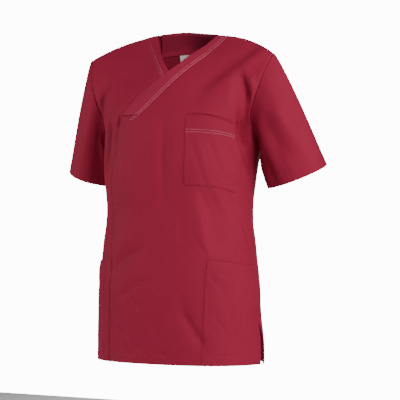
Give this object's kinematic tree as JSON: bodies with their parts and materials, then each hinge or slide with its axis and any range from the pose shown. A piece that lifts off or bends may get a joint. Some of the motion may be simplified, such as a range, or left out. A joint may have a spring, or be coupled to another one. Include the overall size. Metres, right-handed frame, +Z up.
{
  "type": "scrub tunic",
  "caption": "Short-sleeved, wrap-front scrub tunic with patch pockets and side vents, hollow and filled out as worn.",
  "frame": {"origin": "base of the neck, midway between the two high shoulder points, where a wearer's neck meets the shoulders", "axes": "+Z up, +X to the wearer's left, -Y to the wearer's front"},
  "size_m": [0.6763, 0.2688, 0.7678],
  "materials": {
    "front_left": "smooth poly-cotton twill with a slight sheen",
    "front_right": "smooth poly-cotton twill with a slight sheen",
    "back": "smooth poly-cotton twill with a slight sheen",
    "neck_band_left": "smooth poly-cotton twill with a slight sheen",
    "neck_band_right": "smooth poly-cotton twill with a slight sheen",
    "back_neck_facing": "matt woven cloth, wrong side",
    "neck_label": "soft woven tape, blank",
    "chest_pocket": "smooth poly-cotton twill with a slight sheen",
    "hip_pocket_left": "smooth poly-cotton twill with a slight sheen",
    "hip_pocket_right": "smooth poly-cotton twill with a slight sheen",
    "sleeve_left": "smooth poly-cotton twill with a slight sheen",
    "sleeve_right": "smooth poly-cotton twill with a slight sheen"
  },
  "bodies": {
    "root": {"front_left": "front_left", "front_right": "front_right", "back": "back", "neck_band_left": "neck_band_left", "neck_band_right": "neck_band_right", "back_neck_facing": "back_neck_facing", "neck_label": "neck_label", "chest_pocket": "chest_pocket", "hip_pocket_left": "hip_pocket_left", "hip_pocket_right": "hip_pocket_right", "sleeve_left": "sleeve_left", "sleeve_right": "sleeve_right"}
  },
  "joints": []
}
